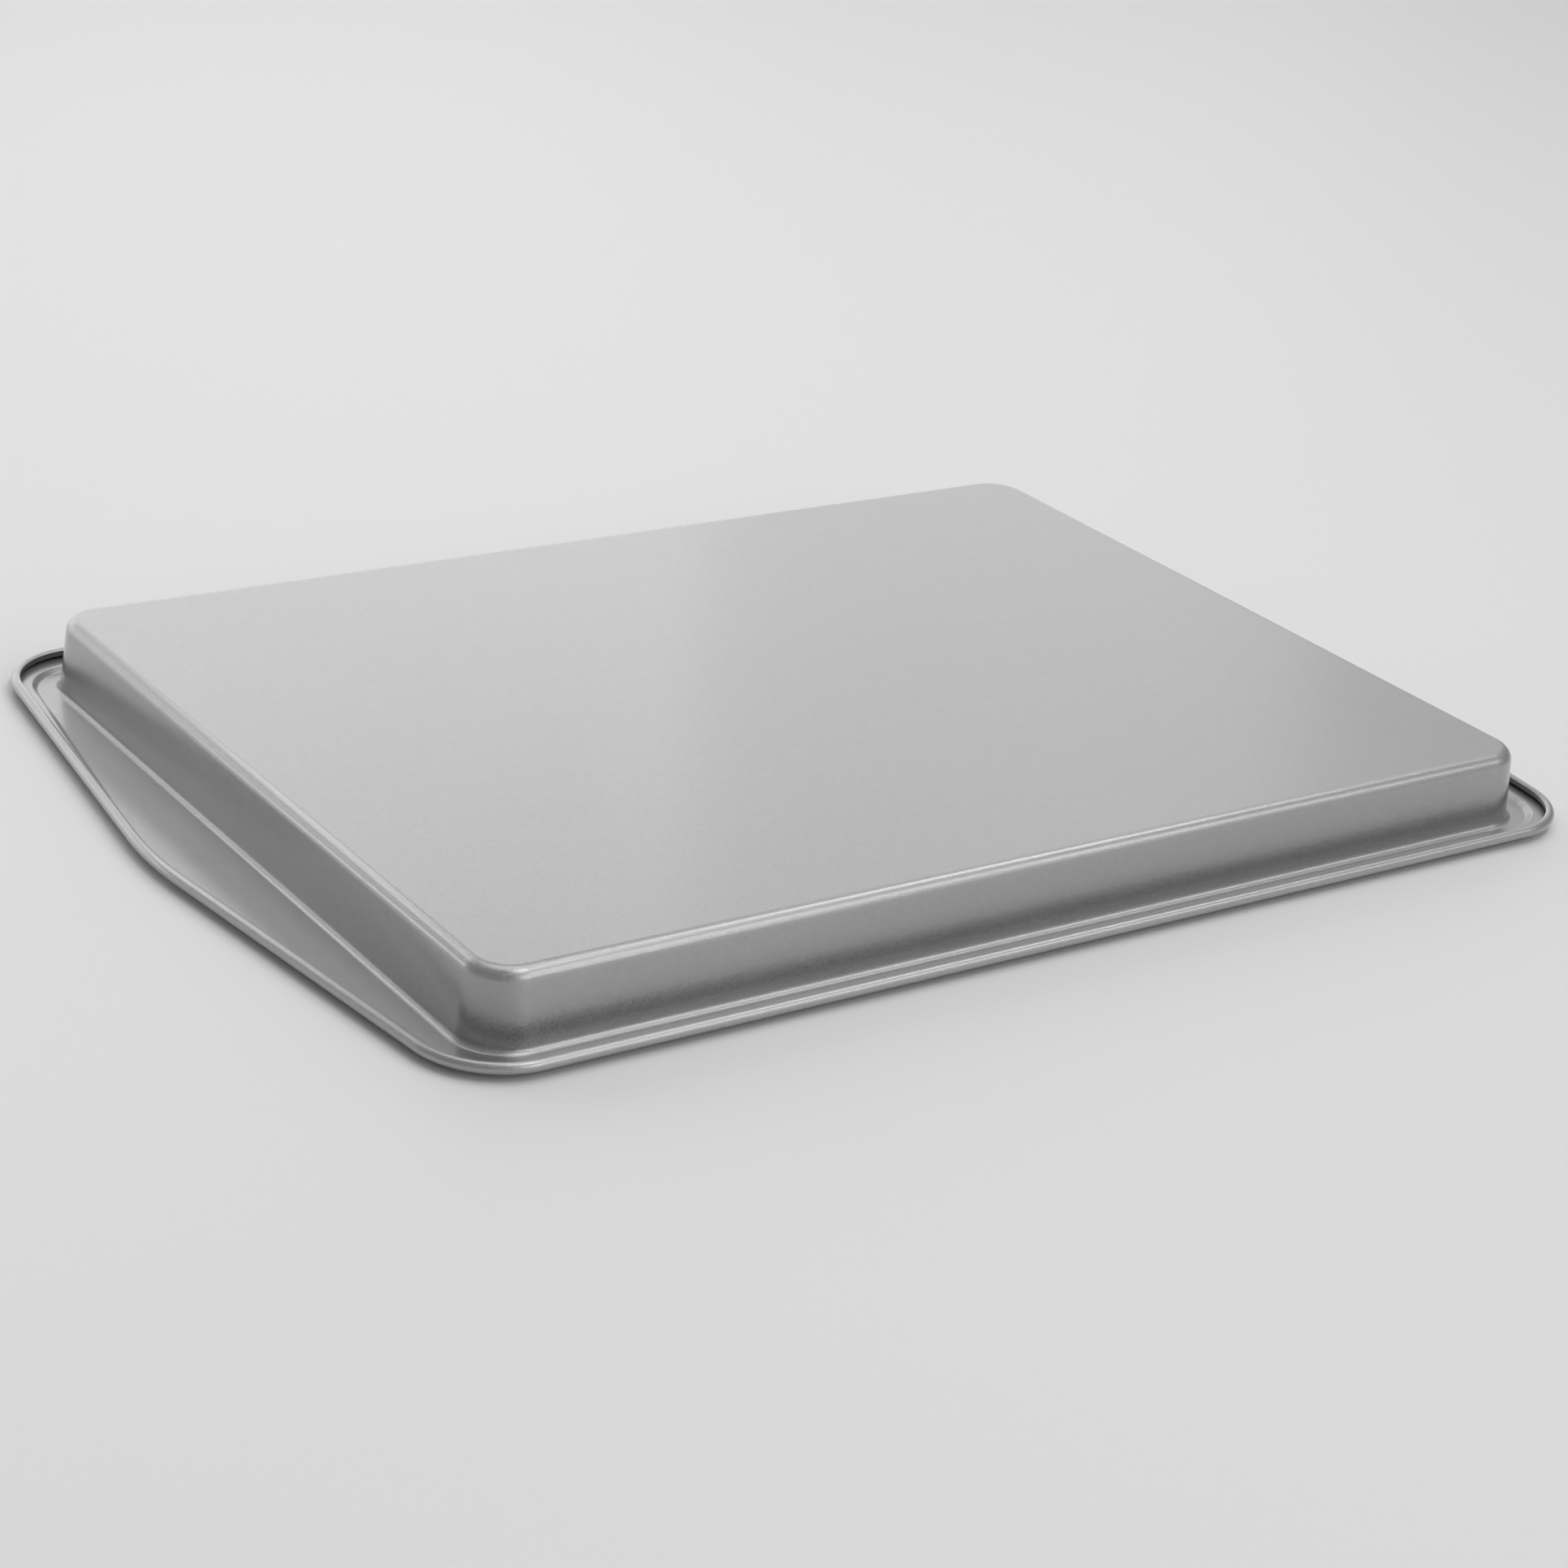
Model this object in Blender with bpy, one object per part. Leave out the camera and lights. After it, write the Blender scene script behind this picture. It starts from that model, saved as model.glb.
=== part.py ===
"""Cookie sheet lying upside down: a pressed steel sheet with an open curled rim, and the wire in the curl.

Metres, +Z up. The origin is the middle of the sheet, on the surface that it rests on.
+X runs along the long sides. The base faces up, and the open side of the tray faces down.
"""
import math

import bmesh
import bpy
from mathutils import Vector

# Sheet and tray
SHEET = 0.0006
BASE_LENGTH = 0.380
BASE_WIDTH = 0.273
HEIGHT = 0.0247
BASE_CORNER = 0.0095
EDGE_RADIUS = 0.00415
WALL_DRAFT = math.radians(4.8)
FOOT_RADIUS = 0.0020

# Pressed panel round the tray, which widens into a handle at each end
LEDGE_SIDE = 0.0012
LEDGE_END = 0.0024
STEP_HEIGHT = 0.00175
STEP_ANGLE = math.radians(45)
STEP_FOOT_RADIUS = 0.0008
STEP_TOP_RADIUS = 0.0005
PANEL_CROWN = 0.130

# Flange from the step to the middle of the bead, along the sides, at the end corners and at the tips
FLANGE_SIDE = 0.0058
FLANGE_END = 0.0038
FLANGE_TIP = 0.0008

# Curled rim
HANDLE_REACH = 0.034
RIM_CORNER = 0.0253
HANDLE_CROWN = 0.1366
BEAD_RADIUS = 0.0018
CURL_TURN = math.radians(225)

# Wire in the curl
WIRE_CLEARANCE = 0.0003
WIRE_BUTT_GAP = 0.0010

# Smoothness: steps along the sides, round each corner and along half of each end
SIDE_STEPS = 2
CORNER_STEPS = 8
END_FRACTIONS = (0.70, 0.42, 0.22, 0.12, 0.06, 0.0)

# Heights of the faces that lie flat
LEDGE_TOP = SHEET
FLANGE_UNDER = STEP_HEIGHT
FLANGE_TOP = STEP_HEIGHT + SHEET
BEAD_CENTRE = FLANGE_UNDER + BEAD_RADIUS
EDGE_CENTRE = HEIGHT - EDGE_RADIUS


class Outline:
    """Plan outline with rounded corners, whose two ends run out to a crowned tip.

    half_width and end_x place the corner where the side and the end line would meet.
    """

    def __init__(self, half_width, end_x, tip_x, corner, crown):
        self.half_width = half_width
        self.corner = corner
        self.crown = crown
        self.crown_x = tip_x - crown
        away = math.hypot(end_x - self.crown_x, half_width)
        bearing = math.atan2(half_width, end_x - self.crown_x)
        self.lean = bearing - math.acos(crown / away)
        self.corner_y = half_width - corner
        line = crown - corner - math.sin(self.lean) * self.corner_y
        self.corner_x = self.crown_x + line / math.cos(self.lean)

    def end_point(self, y):
        """Point and outward normal at this y on the end: on its crown, or on its straight line."""
        sine = y / self.crown
        if sine < math.sin(self.lean):
            normal = Vector((math.sqrt(1 - sine * sine), sine))
            return Vector((self.crown_x, 0)) + normal * self.crown, normal
        normal = Vector((math.cos(self.lean), math.sin(self.lean)))
        x = self.crown_x + (self.crown - math.sin(self.lean) * y) / math.cos(self.lean)
        return Vector((x, y)), normal

    def quarter(self):
        """Points with normals from the middle of the side to the tip, in the quarter with x and y above 0."""
        points = []
        for step in range(SIDE_STEPS):
            points.append((Vector((self.corner_x * step / SIDE_STEPS, self.half_width)), Vector((0, 1))))
        centre = Vector((self.corner_x, self.corner_y))
        for step in range(CORNER_STEPS + 1):
            angle = math.pi / 2 + (self.lean - math.pi / 2) * step / CORNER_STEPS
            normal = Vector((math.cos(angle), math.sin(angle)))
            points.append((centre + normal * self.corner, normal))
        last_y = points[-1][0].y
        for fraction in END_FRACTIONS:
            points.append(self.end_point(last_y * fraction))
        return points

    def all_round(self):
        """The whole outline, clockwise from the middle of the far side."""
        quarter = self.quarter()
        whole = []
        for sign_x, sign_y in ((1, 1), (1, -1), (-1, -1), (-1, 1)):
            part = quarter if sign_x == sign_y else quarter[::-1]
            for point, normal in part[:-1]:
                whole.append((Vector((sign_x * point.x, sign_y * point.y)),
                              Vector((sign_x * normal.x, sign_y * normal.y))))
        return whole


class Bend:
    """One bend of the sheet: an arc in the upright section, placed beside an outline.

    The angles run from the outward direction, anticlockwise. top is the radius of the sheet's top face.
    """

    def __init__(self, outline, out, height, top, start, end, steps):
        self.outline = outline
        self.out = out
        self.height = height
        self.top = top
        self.start = start
        self.end = end
        self.steps = steps
        hollow = end > start
        self.under = top + SHEET if hollow else top - SHEET

    def rings(self, radius):
        """Rings of points round the sheet at this radius, in the order of the bend."""
        rings = []
        for step in range(self.steps + 1):
            angle = self.start + (self.end - self.start) * step / self.steps
            out = self.out + radius * math.cos(angle)
            height = self.height + radius * math.sin(angle)
            rings.append([(*(point + normal * out), height) for point, normal in self.outline.all_round()])
        return rings


def foot_out():
    """How far the centre of the foot's bend lies outside the base's flat."""
    drop = LEDGE_TOP + FOOT_RADIUS - EDGE_CENTRE
    reach = EDGE_RADIUS + FOOT_RADIUS - math.sin(WALL_DRAFT) * drop
    return reach / math.cos(WALL_DRAFT)


def step_width():
    """Plan width of the step, from the panel's edge to the flat of the flange."""
    rise = (FLANGE_TOP - STEP_TOP_RADIUS - SHEET) - (LEDGE_TOP + STEP_FOOT_RADIUS)
    reach = math.cos(STEP_ANGLE) * rise + STEP_FOOT_RADIUS + STEP_TOP_RADIUS + SHEET
    return reach / math.sin(STEP_ANGLE)


def base_outline():
    """Edge of the base's flat."""
    half_length = BASE_LENGTH / 2
    return Outline(BASE_WIDTH / 2, half_length, half_length, BASE_CORNER, PANEL_CROWN)


def panel_outline():
    """Outer edge of the pressed panel, where the step starts to rise."""
    half_width = BASE_WIDTH / 2 + foot_out() + LEDGE_SIDE
    end_x = BASE_LENGTH / 2 + foot_out() + LEDGE_END
    tip_x = BASE_LENGTH / 2 + HANDLE_REACH - FLANGE_TIP - step_width()
    corner = RIM_CORNER - FLANGE_SIDE - step_width()
    return Outline(half_width, end_x, tip_x, corner, PANEL_CROWN)


def rim_outline():
    """Centre line of the curled rim."""
    half_width = BASE_WIDTH / 2 + foot_out() + LEDGE_SIDE + step_width() + FLANGE_SIDE
    end_x = BASE_LENGTH / 2 + foot_out() + LEDGE_END + step_width() + FLANGE_END
    tip_x = BASE_LENGTH / 2 + HANDLE_REACH
    return Outline(half_width, end_x, tip_x, RIM_CORNER, HANDLE_CROWN)


def sheet_bends():
    """The sheet's bends, from the edge of the base out to the free edge of the curl."""
    base = base_outline()
    panel = panel_outline()
    rim = rim_outline()
    up = math.pi / 2
    down = 3 * math.pi / 2
    step_top = STEP_TOP_RADIUS + SHEET
    return [
        Bend(base, 0, EDGE_CENTRE, EDGE_RADIUS, up, WALL_DRAFT, 5),
        Bend(base, foot_out(), LEDGE_TOP + FOOT_RADIUS, FOOT_RADIUS, math.pi + WALL_DRAFT, down, 3),
        Bend(panel, 0, LEDGE_TOP + STEP_FOOT_RADIUS, STEP_FOOT_RADIUS, down, down + STEP_ANGLE, 2),
        Bend(panel, step_width(), FLANGE_TOP - step_top, step_top, up + STEP_ANGLE, up, 2),
        Bend(rim, 0, BEAD_CENTRE, BEAD_RADIUS - SHEET, down, down + CURL_TURN, 8),
    ]


def mesh_object(name, mesh, material):
    """Object with this mesh, shaded smooth except at sharp edges."""
    mesh.shade_smooth()
    mesh.set_sharp_from_angle(angle=math.radians(40))
    mesh.materials.append(material)
    item = bpy.data.objects.new(name, mesh)
    bpy.context.collection.objects.link(item)
    return item


def make_pan(material):
    """The pressed sheet: its top face out to the free edge, and its under face back again."""
    bends = sheet_bends()
    rings = []
    for bend in bends:
        rings += bend.rings(bend.top)
    for bend in reversed(bends):
        rings += bend.rings(bend.under)[::-1]
    shape = bmesh.new()
    loops = [[shape.verts.new(point) for point in ring] for ring in rings]
    count = len(loops[0])
    for inner, outer in zip(loops, loops[1:]):
        for here in range(count):
            after = (here + 1) % count
            shape.faces.new((inner[here], inner[after], outer[after], outer[here]))
    shape.faces.new(loops[0])
    shape.faces.new(loops[-1])
    bmesh.ops.recalc_face_normals(shape, faces=shape.faces)
    mesh = bpy.data.meshes.new("pan")
    shape.to_mesh(mesh)
    shape.free()
    return mesh_object("pan", mesh, material)


def make_wire(material):
    """Wire bent round inside the curl, its ends butting in the middle of the far side."""
    path = [point for point, normal in rim_outline().all_round()]
    start = path[0] + Vector((WIRE_BUTT_GAP / 2, 0))
    end = path[0] - Vector((WIRE_BUTT_GAP / 2, 0))
    path = [start] + path[1:] + [end]
    curve = bpy.data.curves.new("rim_wire", "CURVE")
    curve.dimensions = "3D"
    curve.twist_mode = "Z_UP"
    curve.bevel_depth = BEAD_RADIUS - SHEET - WIRE_CLEARANCE
    curve.bevel_resolution = 2
    curve.use_fill_caps = True
    spline = curve.splines.new("POLY")
    spline.points.add(len(path) - 1)
    for spot, point in zip(spline.points, path):
        spot.co = (point.x, point.y, BEAD_CENTRE, 1)
    curve.materials.append(material)
    item = bpy.data.objects.new("rim_wire", curve)
    bpy.context.collection.objects.link(item)
    return item


def metal(name, colour, roughness, metallic):
    """Principled material."""
    material = bpy.data.materials.new(name)
    material.use_nodes = True
    shader = material.node_tree.nodes["Principled BSDF"]
    shader.inputs["Base Color"].default_value = (*colour, 1)
    shader.inputs["Roughness"].default_value = roughness
    shader.inputs["Metallic"].default_value = metallic
    return material


def main():
    for item in list(bpy.data.objects):
        bpy.data.objects.remove(item, do_unlink=True)
    make_pan(metal("coated_sheet_steel", (0.44, 0.44, 0.44), 0.36, 0.85))
    make_wire(metal("wire_steel", (0.20, 0.20, 0.20), 0.50, 1.0))


main()
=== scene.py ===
"""Looks of the upturned cookie sheet: sheet, rim wire, their steel, floor, lamps and camera.

Metres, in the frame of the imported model: the origin is the middle of the sheet, on the floor.
"""
import math

import bpy
from mathutils import Matrix, Vector


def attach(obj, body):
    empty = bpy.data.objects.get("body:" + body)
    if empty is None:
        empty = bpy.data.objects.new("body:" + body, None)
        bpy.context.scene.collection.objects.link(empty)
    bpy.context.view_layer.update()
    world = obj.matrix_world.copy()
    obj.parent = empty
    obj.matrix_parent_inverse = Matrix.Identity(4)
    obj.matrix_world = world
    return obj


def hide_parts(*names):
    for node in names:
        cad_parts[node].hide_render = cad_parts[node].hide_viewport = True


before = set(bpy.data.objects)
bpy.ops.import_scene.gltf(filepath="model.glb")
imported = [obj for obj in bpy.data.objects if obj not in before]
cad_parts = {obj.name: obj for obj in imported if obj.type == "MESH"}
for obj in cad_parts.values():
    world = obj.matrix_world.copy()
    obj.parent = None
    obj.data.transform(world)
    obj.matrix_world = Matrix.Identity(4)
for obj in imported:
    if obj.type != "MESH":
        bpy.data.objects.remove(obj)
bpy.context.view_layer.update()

# Sheet and tray, as in the part's source
SHEET = 0.0006
BASE_LENGTH = 0.380
BASE_WIDTH = 0.273
HEIGHT = 0.0247
BASE_CORNER = 0.0095
EDGE_RADIUS = 0.00415
WALL_DRAFT = math.radians(4.8)
FOOT_RADIUS = 0.0020
LEDGE_SIDE = 0.0012
LEDGE_END = 0.0024
STEP_HEIGHT = 0.00175
STEP_ANGLE = math.radians(45)
STEP_FOOT_RADIUS = 0.0008
STEP_TOP_RADIUS = 0.0005
PANEL_CROWN = 0.130
FLANGE_SIDE = 0.0058
FLANGE_END = 0.0038
FLANGE_TIP = 0.0008
HANDLE_REACH = 0.034
RIM_CORNER = 0.0253
HANDLE_CROWN = 0.1366
BEAD_RADIUS = 0.0018
CURL_TURN = math.radians(225)
WIRE_CLEARANCE = 0.0003
WIRE_BUTT_GAP = 0.0010

LEDGE_TOP = SHEET
FLANGE_UNDER = STEP_HEIGHT
FLANGE_TOP = STEP_HEIGHT + SHEET
BEAD_CENTRE = FLANGE_UNDER + BEAD_RADIUS
EDGE_CENTRE = HEIGHT - EDGE_RADIUS

# Steps along the sides, round each corner and along half of each end
SIDE_STEPS = 6
CORNER_STEPS = 28
END_STEPS = 36

# Steps round the bends of the sheet, and round the free edge of the curl
EDGE_STEPS = 18
FOOT_STEPS = 12
STEP_BEND_STEPS = 8
CURL_STEPS = 36
FREE_EDGE_STEPS = 8

# Roundness and end bevel of the wire
WIRE_SIDES = 24
WIRE_CHAMFER = 0.0002

# Noise textures: scale to the metre, detail and roughness
SPECKLE_NOISE = (620.0, 3.0, 0.6)
CLOUD_NOISE = (60.0, 4.0, 0.55)
DRIFT_NOISE = (11.0, 2.0, 0.5)
WIRE_NOISE = (900.0, 4.0, 0.6)

# Coat's grey, and how far each kind of grain goes to either side of it
COAT_GREY = 0.40
FLAKE_SHADE = 0.034
SPECKLE_SHADE = 0.026
CLOUD_SHADE = 0.010
DRIFT_SHADE = 0.006

# Coat's flakes to the metre, their lean and roughness, and its clear skin's roughness and waves
FLAKES = 4200.0
FLAKE_LEAN = 0.10
FLAKE_ROUGHNESS = (0.32, 0.53)
CLOUD_ROUGHNESS = 0.03
COAT_METALLIC = 0.95
SKIN_ROUGHNESS = 0.17
SKIN_WAVE = 0.000003

# Wire's steel: darkest and lightest grey, roughness, strength and depth of its bumps
WIRE_GREY = (0.15, 0.25)
WIRE_ROUGHNESS = (0.42, 0.58)
WIRE_BUMP = 0.4
WIRE_BUMP_DEPTH = 0.00005

# Camera
CAMERA_PLACE = (-0.62175, -0.83539, 0.44581)
CAMERA_TURN = (math.radians(66.17704), math.radians(-5.23629), math.radians(-34.36605))
CAMERA_LENS = 79.87
SENSOR = 36.0

# Floor and surroundings
FLOOR_SIZE = 40.0
FLOOR_DROP = 0.0001
FLOOR_COLOUR = 0.78
FLOOR_ROUGHNESS = 0.45
SURROUNDING_LIGHT = 0.32

# Lamps: name, azimuth and elevation in degrees, distance, width, height, radiance
LAMPS = (
    ("bank_far_right", 37.5, 16.0, 8.0, 1.55, 4.00, 0.28),
    ("bank_right", 49.6, 16.0, 8.0, 1.70, 4.00, 0.80),
    ("bank_middle", 63.0, 17.0, 8.0, 1.93, 4.00, 1.15),
    ("bank_left", 78.0, 16.0, 8.0, 2.00, 3.75, 0.95),
    ("bank_far_left", 105.0, 15.0, 8.0, 5.60, 3.60, 1.20),
    ("bank_right_top", 38.0, 37.0, 8.0, 2.75, 1.88, 0.75),
    ("box_right_high", 9.0, 54.5, 4.0, 1.05, 0.90, 4.4),
    ("box_front_right", 313.0, 36.0, 4.4, 1.60, 1.60, 2.2),
    ("strip_back", 104.0, 38.0, 1.5, 1.10, 0.20, 2.6),
    ("post_back", 131.0, 6.0, 4.4, 0.60, 1.00, 3.0),
    ("box_front", 284.0, 33.0, 4.4, 2.00, 1.40, 1.5),
    ("box_front_low", 286.0, 18.0, 5.5, 3.00, 1.50, 2.2),
    ("top_front", 300.0, 69.0, 2.2, 1.00, 0.70, 3.8),
    ("top_back", 80.0, 75.0, 2.2, 1.60, 1.20, 1.2),
)

# Point that the lamps face
AIM = Vector((0, 0, 0.02))


class Outline:
    """Plan outline with rounded corners, whose two ends run out to a crowned tip."""

    def __init__(self, half_width, end_x, tip_x, corner, crown):
        self.half_width = half_width
        self.corner = corner
        self.crown = crown
        self.crown_x = tip_x - crown
        away = math.hypot(end_x - self.crown_x, half_width)
        bearing = math.atan2(half_width, end_x - self.crown_x)
        self.lean = bearing - math.acos(crown / away)
        self.corner_y = half_width - corner
        line = crown - corner - math.sin(self.lean) * self.corner_y
        self.corner_x = self.crown_x + line / math.cos(self.lean)

    def end_point(self, y):
        """Point and outward normal at this y on the end."""
        sine = y / self.crown
        if sine < math.sin(self.lean):
            normal = Vector((math.sqrt(1 - sine * sine), sine))
            return Vector((self.crown_x, 0)) + normal * self.crown, normal
        normal = Vector((math.cos(self.lean), math.sin(self.lean)))
        x = self.crown_x + (self.crown - math.sin(self.lean) * y) / math.cos(self.lean)
        return Vector((x, y)), normal

    def quarter(self):
        """Points with normals from the middle of the side to the tip, where x and y are above 0."""
        points = []
        for step in range(SIDE_STEPS):
            x = self.corner_x * step / SIDE_STEPS
            points.append((Vector((x, self.half_width)), Vector((0, 1))))
        centre = Vector((self.corner_x, self.corner_y))
        for step in range(CORNER_STEPS + 1):
            angle = math.pi / 2 + (self.lean - math.pi / 2) * step / CORNER_STEPS
            normal = Vector((math.cos(angle), math.sin(angle)))
            points.append((centre + normal * self.corner, normal))
        last_y = points[-1][0].y
        for step in range(1, END_STEPS + 1):
            points.append(self.end_point(last_y * (1 - step / END_STEPS)))
        return points

    def all_round(self):
        """The whole outline, clockwise from the middle of the far side."""
        quarter = self.quarter()
        whole = []
        for sign_x, sign_y in ((1, 1), (1, -1), (-1, -1), (-1, 1)):
            part = quarter if sign_x == sign_y else quarter[::-1]
            for point, normal in part[:-1]:
                whole.append((Vector((sign_x * point.x, sign_y * point.y)),
                              Vector((sign_x * normal.x, sign_y * normal.y))))
        return whole


class Bend:
    """One bend of the sheet: an arc in the upright section, placed beside an outline."""

    def __init__(self, round_points, out, height, top, start, end, steps):
        self.round_points = round_points
        self.out = out
        self.height = height
        self.top = top
        self.start = start
        self.end = end
        self.steps = steps
        self.hollow = end > start
        self.under = top + SHEET if self.hollow else top - SHEET

    def rings(self, top_face):
        """Rings of points with normals on one face of the sheet, in the order of the bend."""
        radius = self.top if top_face else self.under
        facing = -1 if self.hollow == top_face else 1
        rings = []
        for step in range(self.steps + 1):
            angle = self.start + (self.end - self.start) * step / self.steps
            along = (math.cos(angle), math.sin(angle))
            rings.append(ring(self.round_points, self.out + radius * along[0],
                              self.height + radius * along[1],
                              (facing * along[0], facing * along[1])))
        return rings


def ring(round_points, out, height, facing):
    """Points this far outside an outline, with normals that lean as facing says."""
    return [((*(point + normal * out), height), (*(normal * facing[0]), facing[1]))
            for point, normal in round_points]


def foot_out():
    """How far the centre of the foot's bend lies outside the base's flat."""
    drop = LEDGE_TOP + FOOT_RADIUS - EDGE_CENTRE
    reach = EDGE_RADIUS + FOOT_RADIUS - math.sin(WALL_DRAFT) * drop
    return reach / math.cos(WALL_DRAFT)


def step_width():
    """Plan width of the step, from the panel's edge to the flat of the flange."""
    rise = (FLANGE_TOP - STEP_TOP_RADIUS - SHEET) - (LEDGE_TOP + STEP_FOOT_RADIUS)
    reach = math.cos(STEP_ANGLE) * rise + STEP_FOOT_RADIUS + STEP_TOP_RADIUS + SHEET
    return reach / math.sin(STEP_ANGLE)


def base_outline():
    """Edge of the base's flat."""
    half_length = BASE_LENGTH / 2
    return Outline(BASE_WIDTH / 2, half_length, half_length, BASE_CORNER, PANEL_CROWN)


def panel_outline():
    """Outer edge of the pressed panel, where the step starts to rise."""
    half_width = BASE_WIDTH / 2 + foot_out() + LEDGE_SIDE
    end_x = BASE_LENGTH / 2 + foot_out() + LEDGE_END
    tip_x = BASE_LENGTH / 2 + HANDLE_REACH - FLANGE_TIP - step_width()
    corner = RIM_CORNER - FLANGE_SIDE - step_width()
    return Outline(half_width, end_x, tip_x, corner, PANEL_CROWN)


def rim_outline():
    """Centre line of the curled rim."""
    half_width = BASE_WIDTH / 2 + foot_out() + LEDGE_SIDE + step_width() + FLANGE_SIDE
    end_x = BASE_LENGTH / 2 + foot_out() + LEDGE_END + step_width() + FLANGE_END
    tip_x = BASE_LENGTH / 2 + HANDLE_REACH
    return Outline(half_width, end_x, tip_x, RIM_CORNER, HANDLE_CROWN)


def mesh_object(name, rings, material):
    """Object lofted through rings of points with normals, with a face over each end."""
    count = len(rings[0])
    points = [point for one in rings for point, facing in one]
    normals = [Vector(facing).normalized() for one in rings for point, facing in one]
    faces = []
    for inner in range(len(rings) - 1):
        for here in range(count):
            after = (here + 1) % count
            faces.append((inner * count + here, inner * count + after,
                          (inner + 1) * count + after, (inner + 1) * count + here))
    last = (len(rings) - 1) * count
    faces.append(tuple(range(count))[::-1])
    faces.append(tuple(range(last, last + count)))
    mesh = bpy.data.meshes.new(name)
    mesh.from_pydata(points, [], faces)
    mesh.validate()
    mesh.shade_smooth()
    mesh.normals_split_custom_set_from_vertices(normals)
    mesh.materials.append(material)
    item = bpy.data.objects.new(name, mesh)
    bpy.context.collection.objects.link(item)
    return item


def make_sheet(material):
    """The pressed sheet: top face out to the rounded free edge, and under face back again."""
    base = base_outline().all_round()
    panel = panel_outline().all_round()
    rim = rim_outline().all_round()
    up = math.pi / 2
    down = 3 * math.pi / 2
    step_top = STEP_TOP_RADIUS + SHEET
    half = SHEET / 2
    middle = BEAD_RADIUS - half
    curl_end = down + CURL_TURN - half / middle
    bends = [
        Bend(base, 0, EDGE_CENTRE, EDGE_RADIUS, up, WALL_DRAFT, EDGE_STEPS),
        Bend(base, foot_out(), LEDGE_TOP + FOOT_RADIUS, FOOT_RADIUS,
             math.pi + WALL_DRAFT, down, FOOT_STEPS),
        Bend(panel, 0, LEDGE_TOP + STEP_FOOT_RADIUS, STEP_FOOT_RADIUS,
             down, down + STEP_ANGLE, STEP_BEND_STEPS),
        Bend(panel, step_width(), FLANGE_TOP - step_top, step_top,
             up + STEP_ANGLE, up, STEP_BEND_STEPS),
        Bend(rim, 0, BEAD_CENTRE, BEAD_RADIUS - SHEET, down, curl_end, CURL_STEPS),
    ]
    rings = []
    for bend in bends:
        rings += bend.rings(True)
    out = Vector((math.cos(curl_end), math.sin(curl_end)))
    ahead = Vector((-math.sin(curl_end), math.cos(curl_end)))
    for step in range(1, FREE_EDGE_STEPS):
        turn = math.pi * (1 - step / FREE_EDGE_STEPS)
        facing = out * math.cos(turn) + ahead * math.sin(turn)
        spot = out * middle + facing * half
        rings.append(ring(rim, spot.x, BEAD_CENTRE + spot.y, facing))
    for bend in reversed(bends):
        rings += bend.rings(False)[::-1]
    return mesh_object("pan_sheet", rings, material)


def make_wire(material):
    """Wire bent round inside the curl, its ends butting in the middle of the far side."""
    path = rim_outline().all_round()
    side = Vector((0, 1))
    edge = Vector((WIRE_BUTT_GAP / 2, 0))
    bevel = Vector((WIRE_CHAMFER, 0))
    far = path[0][0]
    radius = BEAD_RADIUS - SHEET - WIRE_CLEARANCE
    spots = [(far + edge, side, radius - WIRE_CHAMFER), (far + edge + bevel, side, radius)]
    spots += [(point, normal, radius) for point, normal in path[1:]]
    spots += [(far - edge - bevel, side, radius), (far - edge, side, radius - WIRE_CHAMFER)]
    rings = []
    for point, normal, size in spots:
        one = []
        for step in range(WIRE_SIDES):
            angle = 2 * math.pi * step / WIRE_SIDES
            facing = (*(normal * math.cos(angle)), math.sin(angle))
            one.append(((*(point + normal * size * math.cos(angle)),
                         BEAD_CENTRE + size * math.sin(angle)), facing))
        rings.append(one)
    return mesh_object("rim_wire_round", rings, material)


class Nodes:
    """Short ways to add and join the nodes of one material."""

    def __init__(self, name):
        self.material = bpy.data.materials.new(name)
        self.material.use_nodes = True
        self.tree = self.material.node_tree
        self.shader = self.tree.nodes["Principled BSDF"]

    def add(self, kind, inputs=(), **settings):
        node = self.tree.nodes.new(kind)
        for key, value in settings.items():
            setattr(node, key, value)
        for key, value in dict(inputs).items():
            self.put(value, node.inputs[key])
        return node

    def put(self, value, socket):
        if isinstance(value, bpy.types.NodeSocket):
            self.tree.links.new(value, socket)
        else:
            socket.default_value = value

    def sum(self, first, second):
        return self.add("ShaderNodeMath", {0: first, 1: second}, operation="ADD").outputs[0]

    def spread(self, value, low, high):
        """Value from 0 to 1 spread from low to high."""
        inputs = {"Value": value, "To Min": low, "To Max": high}
        return self.add("ShaderNodeMapRange", inputs).outputs[0]

    def vary(self, value, reach):
        """Value from 0 to 1 spread as far as reach to either side of 0."""
        return self.spread(value, -reach, reach)

    def grey(self, value):
        """Grey colour of this value."""
        return self.add("ShaderNodeCombineColor", {0: value, 1: value, 2: value}).outputs[0]

    def noise(self, place, settings):
        scale, detail, roughness = settings
        inputs = {"Vector": place, "Scale": scale, "Detail": detail, "Roughness": roughness}
        return self.add("ShaderNodeTexNoise", inputs).outputs["Fac"]


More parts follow.
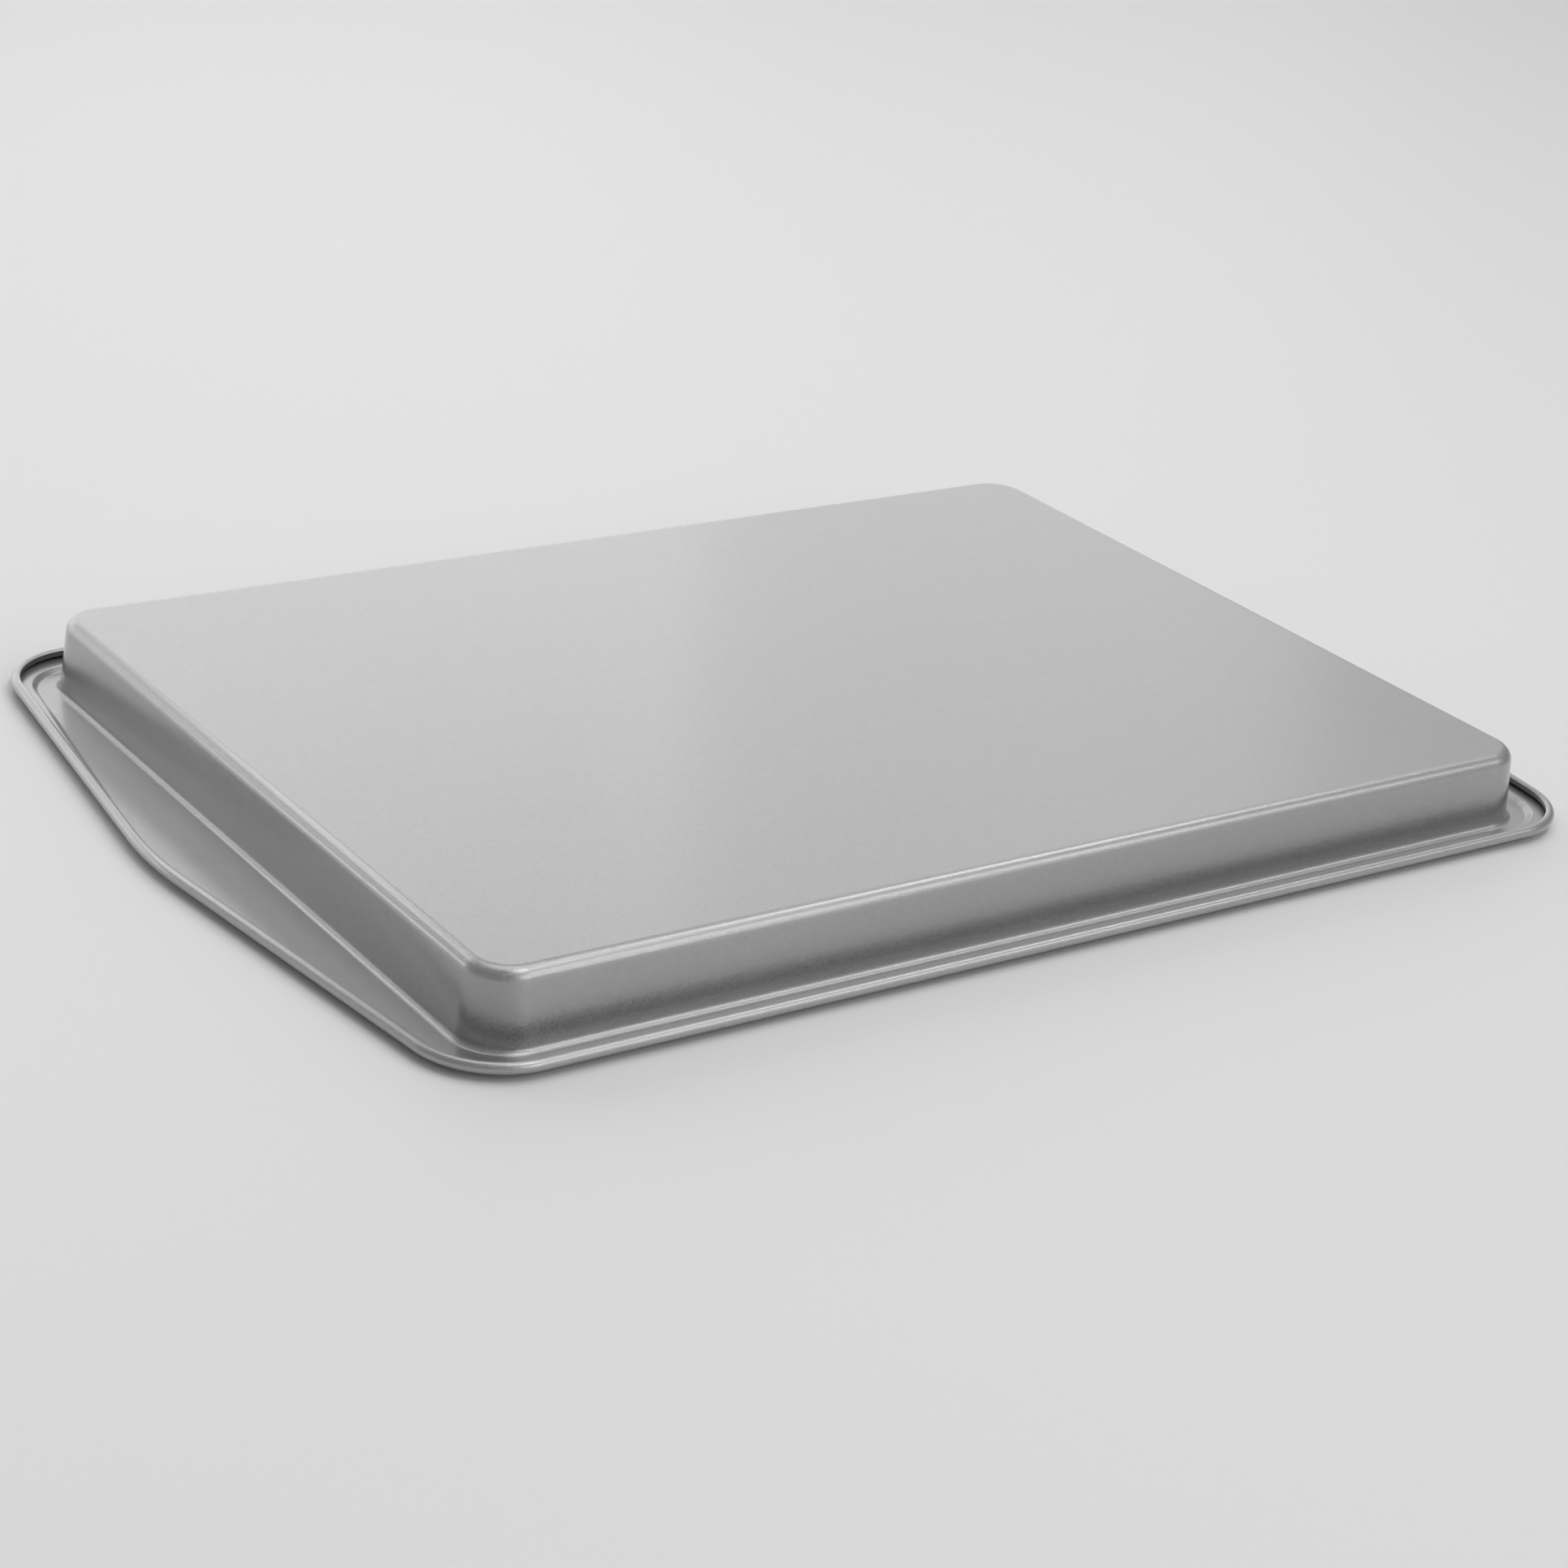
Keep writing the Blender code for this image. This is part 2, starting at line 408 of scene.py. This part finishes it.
def coated_steel():
    """Grey non-stick coat with metal flakes in it, under its own clear skin."""
    nodes = Nodes("coated_steel_grey")
    place = nodes.add("ShaderNodeTexCoord").outputs["Object"]
    surface = nodes.add("ShaderNodeNewGeometry").outputs["Normal"]
    cells = nodes.add("ShaderNodeTexVoronoi", {"Vector": place, "Scale": FLAKES}).outputs["Color"]
    flake = nodes.add("ShaderNodeSeparateColor", {"Color": cells}).outputs[0]
    speckle = nodes.noise(place, SPECKLE_NOISE)
    cloud = nodes.noise(place, CLOUD_NOISE)
    drift = nodes.noise(place, DRIFT_NOISE)
    shade = nodes.sum(nodes.vary(flake, FLAKE_SHADE), nodes.vary(speckle, SPECKLE_SHADE))
    shade = nodes.sum(shade, nodes.vary(cloud, CLOUD_SHADE))
    shade = nodes.sum(shade, nodes.vary(drift, DRIFT_SHADE))
    nodes.put(nodes.grey(nodes.sum(shade, COAT_GREY)), nodes.shader.inputs["Base Color"])
    rough = nodes.sum(nodes.spread(flake, *FLAKE_ROUGHNESS), nodes.vary(cloud, CLOUD_ROUGHNESS))
    nodes.put(rough, nodes.shader.inputs["Roughness"])
    nodes.put(COAT_METALLIC, nodes.shader.inputs["Metallic"])
    nodes.put(1.0, nodes.shader.inputs["Coat Weight"])
    nodes.put(SKIN_ROUGHNESS, nodes.shader.inputs["Coat Roughness"])
    lean = nodes.add("ShaderNodeVectorMath",
                     {0: cells, 1: (FLAKE_LEAN,) * 3, 2: (-FLAKE_LEAN / 2,) * 3},
                     operation="MULTIPLY_ADD").outputs[0]
    leant = nodes.add("ShaderNodeVectorMath", {0: surface, 1: lean}, operation="ADD").outputs[0]
    leant = nodes.add("ShaderNodeVectorMath", {0: leant}, operation="NORMALIZE").outputs[0]
    waves = {"Height": cloud, "Strength": 1.0, "Distance": SKIN_WAVE}
    skin = nodes.add("ShaderNodeBump", waves).outputs[0]
    base = nodes.add("ShaderNodeBump", {**waves, "Normal": leant}).outputs[0]
    nodes.put(base, nodes.shader.inputs["Normal"])
    nodes.put(skin, nodes.shader.inputs["Coat Normal"])
    return nodes.material


def wire_steel():
    """Dull drawn steel wire."""
    nodes = Nodes("wire_steel_dull")
    place = nodes.add("ShaderNodeTexCoord").outputs["Object"]
    speckle = nodes.noise(place, WIRE_NOISE)
    grey = nodes.grey(nodes.spread(speckle, *WIRE_GREY))
    nodes.put(grey, nodes.shader.inputs["Base Color"])
    nodes.put(nodes.spread(speckle, *WIRE_ROUGHNESS), nodes.shader.inputs["Roughness"])
    nodes.put(1.0, nodes.shader.inputs["Metallic"])
    bumps = {"Height": speckle, "Strength": WIRE_BUMP, "Distance": WIRE_BUMP_DEPTH}
    bump = nodes.add("ShaderNodeBump", bumps).outputs[0]
    nodes.put(bump, nodes.shader.inputs["Normal"])
    return nodes.material


def make_floor():
    """Plain pale floor."""
    nodes = Nodes("floor_pale")
    colour = (FLOOR_COLOUR, FLOOR_COLOUR, FLOOR_COLOUR, 1)
    nodes.put(colour, nodes.shader.inputs["Base Color"])
    nodes.put(FLOOR_ROUGHNESS, nodes.shader.inputs["Roughness"])
    half = FLOOR_SIZE / 2
    mesh = bpy.data.meshes.new("floor")
    corners = [(-half, -half, -FLOOR_DROP), (half, -half, -FLOOR_DROP),
               (half, half, -FLOOR_DROP), (-half, half, -FLOOR_DROP)]
    mesh.from_pydata(corners, [], [(0, 1, 2, 3)])
    mesh.materials.append(nodes.material)
    floor = bpy.data.objects.new("floor", mesh)
    bpy.context.collection.objects.link(floor)


def make_lamps():
    """Softboxes round the object, and an even light from all round."""
    for name, azimuth, elevation, distance, width, height, radiance in LAMPS:
        light = bpy.data.lights.new(name, "AREA")
        light.shape = "RECTANGLE"
        light.size = width
        light.size_y = height
        light.energy = radiance * math.pi * width * height
        lamp = bpy.data.objects.new(name, light)
        bpy.context.collection.objects.link(lamp)
        turn = Matrix.Rotation(math.radians(azimuth + 90), 4, "Z")
        turn = turn @ Matrix.Rotation(math.radians(90 - elevation), 4, "X")
        place = Matrix.Translation(AIM + turn.to_3x3() @ Vector((0, 0, distance)))
        lamp.matrix_world = place @ turn
        lamp.visible_camera = False
    world = bpy.data.worlds.new("surroundings")
    world.use_nodes = True
    background = world.node_tree.nodes["Background"]
    background.inputs["Color"].default_value = (1, 1, 1, 1)
    background.inputs["Strength"].default_value = SURROUNDING_LIGHT
    bpy.context.scene.world = world


def make_camera():
    """Camera at the photograph's angle."""
    data = bpy.data.cameras.new("camera")
    data.sensor_width = SENSOR
    data.lens = CAMERA_LENS
    camera = bpy.data.objects.new("camera", data)
    bpy.context.collection.objects.link(camera)
    camera.location = CAMERA_PLACE
    camera.rotation_euler = CAMERA_TURN
    bpy.context.scene.camera = camera


make_camera()
sheet = make_sheet(coated_steel())
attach(sheet, "root")
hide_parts("pan")
wire = make_wire(wire_steel())
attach(wire, "root")
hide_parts("rim_wire")
make_floor()
make_lamps()
bpy.context.scene.view_settings.view_transform = "Standard"
